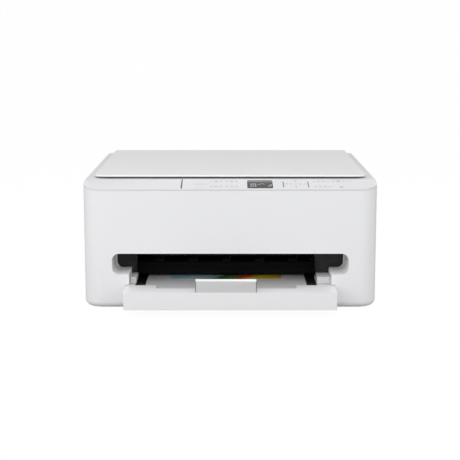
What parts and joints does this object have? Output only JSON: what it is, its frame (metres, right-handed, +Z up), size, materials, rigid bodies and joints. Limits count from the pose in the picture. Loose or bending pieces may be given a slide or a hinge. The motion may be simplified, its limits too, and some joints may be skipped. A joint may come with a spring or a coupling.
{
  "type": "multifunction printer",
  "caption": "White desktop inkjet printer with flatbed scanner, hinged cover, sloping key panel, wide front slot, pull-out paper cassette with folding stop and a moving ink carriage inside.",
  "frame": {"origin": "under the middle of the whole machine, on the surface that it stands on", "axes": "+Z up, +Y from the front to the back, +X to the right as seen from the front"},
  "size_m": [0.38, 0.4026, 0.17],
  "materials": {
    "white_shell": "fine matte moulded texture",
    "cassette_white": "fine matte moulded texture",
    "white_key": "matte with printed pictogram",
    "plate_grey": "matte",
    "grey_base": "matte",
    "black_inner": "satin",
    "dark_lens": "glossy window",
    "gear_plastic": "satin acetal",
    "belt": "matte",
    "rubber": "matte",
    "roller_rubber": "matte",
    "roller_steel": "ground",
    "steel": "zinc plated sheet",
    "brass": "turned",
    "circuit_board": "soldermask",
    "clear_glass": "polished",
    "foam": "smooth white sheet on foam",
    "print_paper": "glossy printed sheet"
  },
  "bodies": {
    "chassis": {"main_cover": "white_shell", "slot_liner": "white_shell", "bottom_case": "grey_base", "rubber_feet": "rubber", "rear_panel": "white_shell", "power_inlet": "black_inner", "usb_port": "steel", "output_surround": "black_inner", "frame_left": "steel", "frame_right": "steel", "platen": "black_inner", "cap_station": "grey_base", "carriage_rail": "steel", "carriage_belt": "belt", "carriage_motor": "steel", "feed_motor": "steel", "rear_guide": "black_inner", "main_board": "circuit_board", "power_supply": "black_inner"},
    "scanner_unit": {"scanner_top_frame": "white_shell", "scanner_housing": "white_shell", "scanner_glass": "clear_glass", "panel_lenses": "dark_lens"},
    "document_cover": {"document_lid": "white_shell", "document_pad": "foam"},
    "scan_bar": {"scan_carriage": "black_inner"},
    "carriage": {"ink_carriage": "black_inner", "ink_cartridges": "black_inner"},
    "drive_pulley": {"drive_pulley": "gear_plastic"},
    "idler_pulley": {"idler_pulley": "gear_plastic"},
    "feed_roller": {"feed_roller": "roller_steel"},
    "output_roller": {"output_roller": "roller_rubber"},
    "idler_gear": {"idler_gear": "gear_plastic"},
    "motor_pinion": {"motor_pinion": "brass"},
    "pinch_roller": {"pinch_roller": "gear_plastic"},
    "star_wheels": {"star_wheels": "steel"},
    "pickup_arm": {"pickup_arm": "black_inner"},
    "pickup_roller": {"pickup_roller": "roller_rubber"},
    "rear_access": {"rear_access_cover": "white_shell"},
    "cassette": {"cassette_base": "cassette_white"},
    "tray_front": {"cassette_front": "cassette_white", "output_plate": "plate_grey", "printed_sheet": "print_paper"},
    "flap": {"output_flap": "cassette_white"},
    "guide_left": {"guide_left": "black_inner"},
    "guide_right": {"guide_right": "black_inner"},
    "guide_pinion": {"guide_pinion": "gear_plastic"},
    "key_home": {"key_home": "white_key"},
    "key_menu_1": {"key_menu_1": "white_key"},
    "key_menu_2": {"key_menu_2": "white_key"},
    "key_menu_3": {"key_menu_3": "white_key"},
    "key_menu_4": {"key_menu_4": "white_key"},
    "key_ok": {"key_ok": "white_key"},
    "key_up": {"key_up": "white_key"},
    "key_down": {"key_down": "white_key"},
    "key_left": {"key_left": "white_key"},
    "key_right": {"key_right": "white_key"},
    "key_start_black": {"key_start_black": "white_key"},
    "key_start_colour": {"key_start_colour": "white_key"},
    "key_stop": {"key_stop": "white_key"}
  },
  "joints": [
    {"name": "scanner_hinge", "type": "hinge", "parent": "chassis", "child": "scanner_unit", "pos_m": [0, 0.19325, 0.14], "axis": [-1, 0, 0], "range_deg": [0, 45]},
    {"name": "document_hinge", "type": "hinge", "parent": "scanner_unit", "child": "document_cover", "pos_m": [0, 0.19695, 0.1687], "axis": [-1, 0, 0], "range_deg": [0, 80]},
    {"name": "scan_slide", "type": "slide", "parent": "scanner_unit", "child": "scan_bar", "axis": [1, 0, 0], "range_m": [0, 0.278]},
    {"name": "carriage_slide", "type": "slide", "parent": "chassis", "child": "carriage", "axis": [-1, 0, 0], "range_m": [0, 0.236]},
    {"name": "drive_pulley_spin", "type": "hinge", "parent": "chassis", "child": "drive_pulley", "pos_m": [0.14, 0.03325, 0.086], "axis": [0, 0, -1], "range_deg": [0, 1700]},
    {"name": "idler_pulley_spin", "type": "hinge", "parent": "chassis", "child": "idler_pulley", "pos_m": [-0.14, 0.03325, 0.086], "axis": [0, 0, -1], "range_deg": [0, 1700]},
    {"name": "feed_spin", "type": "hinge", "parent": "chassis", "child": "feed_roller", "pos_m": [0, 0.01125, 0.046], "axis": [1, 0, 0], "continuous": true},
    {"name": "output_spin", "type": "hinge", "parent": "chassis", "child": "output_roller", "pos_m": [0, -0.07675, 0.046], "axis": [1, 0, 0], "continuous": true},
    {"name": "idler_gear_spin", "type": "hinge", "parent": "chassis", "child": "idler_gear", "pos_m": [-0.169, -0.03275, 0.046], "axis": [1, 0, 0], "continuous": true},
    {"name": "motor_pinion_spin", "type": "hinge", "parent": "chassis", "child": "motor_pinion", "pos_m": [-0.169, 0.03636, 0.05273], "axis": [1, 0, 0], "continuous": true},
    {"name": "pinch_spin", "type": "hinge", "parent": "chassis", "child": "pinch_roller", "pos_m": [0, 0.01125, 0.0573], "axis": [1, 0, 0], "continuous": true},
    {"name": "star_spin", "type": "hinge", "parent": "chassis", "child": "star_wheels", "pos_m": [0, -0.07675, 0.0563], "axis": [1, 0, 0], "continuous": true},
    {"name": "pickup_swing", "type": "hinge", "parent": "chassis", "child": "pickup_arm", "pos_m": [0, 0.05525, 0.062], "axis": [-1, 0, 0], "range_deg": [0, 22], "stiffness_Nm_per_rad": 0.06, "springref_deg": -40.11},
    {"name": "pickup_spin", "type": "hinge", "parent": "pickup_arm", "child": "pickup_roller", "pos_m": [-0.0054, 0.08525, 0.045], "axis": [1, 0, 0], "continuous": true},
    {"name": "rear_access_slide", "type": "slide", "parent": "chassis", "child": "rear_access", "axis": [0, 1, 0], "range_m": [0, 0.03]},
    {"name": "cassette_slide", "type": "slide", "parent": "chassis", "child": "cassette", "axis": [0, -1, 0], "range_m": [0, 0.23]},
    {"name": "tray_front_slide", "type": "slide", "parent": "cassette", "child": "tray_front", "axis": [0, 1, 0], "range_m": [0, 0.044]},
    {"name": "flap_hinge", "type": "hinge", "parent": "tray_front", "child": "flap", "pos_m": [-0.0054, -0.19735, 0.0302], "axis": [-1, 0, 0], "range_deg": [0, 90]},
    {"name": "guide_left_slide", "type": "slide", "parent": "cassette", "child": "guide_left", "axis": [1, 0, 0], "range_m": [0, 0.052]},
    {"name": "guide_right_slide", "type": "slide", "parent": "cassette", "child": "guide_right", "axis": [-1, 0, 0], "range_m": [0, 0.052]},
    {"name": "guide_pinion_spin", "type": "hinge", "parent": "cassette", "child": "guide_pinion", "pos_m": [-0.0054, -0.03875, 0.0144], "axis": [0, 0, 1], "range_deg": [0, 260]},
    {"name": "key_home_press", "type": "slide", "parent": "scanner_unit", "child": "key_home", "axis": [0, 0.1655, -0.9862], "range_m": [0, 0.0006], "stiffness_N_per_m": 400, "springref_m": -0.0008},
    {"name": "key_menu_1_press", "type": "slide", "parent": "scanner_unit", "child": "key_menu_1", "axis": [0, 0.1655, -0.9862], "range_m": [0, 0.0006], "stiffness_N_per_m": 400, "springref_m": -0.0008},
    {"name": "key_menu_2_press", "type": "slide", "parent": "scanner_unit", "child": "key_menu_2", "axis": [0, 0.1655, -0.9862], "range_m": [0, 0.0006], "stiffness_N_per_m": 400, "springref_m": -0.0008},
    {"name": "key_menu_3_press", "type": "slide", "parent": "scanner_unit", "child": "key_menu_3", "axis": [0, 0.1655, -0.9862], "range_m": [0, 0.0006], "stiffness_N_per_m": 400, "springref_m": -0.0008},
    {"name": "key_menu_4_press", "type": "slide", "parent": "scanner_unit", "child": "key_menu_4", "axis": [0, 0.1655, -0.9862], "range_m": [0, 0.0006], "stiffness_N_per_m": 400, "springref_m": -0.0008},
    {"name": "key_ok_press", "type": "slide", "parent": "scanner_unit", "child": "key_ok", "axis": [0, 0.1655, -0.9862], "range_m": [0, 0.0006], "stiffness_N_per_m": 400, "springref_m": -0.0008},
    {"name": "key_up_press", "type": "slide", "parent": "scanner_unit", "child": "key_up", "axis": [0, 0.1655, -0.9862], "range_m": [0, 0.0006], "stiffness_N_per_m": 400, "springref_m": -0.0008},
    {"name": "key_down_press", "type": "slide", "parent": "scanner_unit", "child": "key_down", "axis": [0, 0.1655, -0.9862], "range_m": [0, 0.0006], "stiffness_N_per_m": 400, "springref_m": -0.0008},
    {"name": "key_left_press", "type": "slide", "parent": "scanner_unit", "child": "key_left", "axis": [0, 0.1655, -0.9862], "range_m": [0, 0.0006], "stiffness_N_per_m": 400, "springref_m": -0.0008},
    {"name": "key_right_press", "type": "slide", "parent": "scanner_unit", "child": "key_right", "axis": [0, 0.1655, -0.9862], "range_m": [0, 0.0006], "stiffness_N_per_m": 400, "springref_m": -0.0008},
    {"name": "key_start_black_press", "type": "slide", "parent": "scanner_unit", "child": "key_start_black", "axis": [0, 0.1655, -0.9862], "range_m": [0, 0.0006], "stiffness_N_per_m": 400, "springref_m": -0.0008},
    {"name": "key_start_colour_press", "type": "slide", "parent": "scanner_unit", "child": "key_start_colour", "axis": [0, 0.1655, -0.9862], "range_m": [0, 0.0006], "stiffness_N_per_m": 400, "springref_m": -0.0008},
    {"name": "key_stop_press", "type": "slide", "parent": "scanner_unit", "child": "key_stop", "axis": [0, 0.1655, -0.9862], "range_m": [0, 0.0006], "stiffness_N_per_m": 400, "springref_m": -0.0008}
  ],
  "couplings": [
    {"joint": "output_spin", "follows": "feed_spin", "ratio": 1},
    {"joint": "idler_gear_spin", "follows": "feed_spin", "ratio": -0.83333},
    {"joint": "motor_pinion_spin", "follows": "feed_spin", "ratio": -3.3333},
    {"joint": "pinch_spin", "follows": "feed_spin", "ratio": -1.75},
    {"joint": "star_spin", "follows": "feed_spin", "ratio": -1.5},
    {"joint": "drive_pulley_spin", "follows": "carriage_slide", "rad_per_m": 125},
    {"joint": "idler_pulley_spin", "follows": "carriage_slide", "rad_per_m": 125},
    {"joint": "guide_right_slide", "follows": "guide_left_slide", "ratio": 1},
    {"joint": "guide_pinion_spin", "follows": "guide_left_slide", "rad_per_m": 83.333}
  ]
}
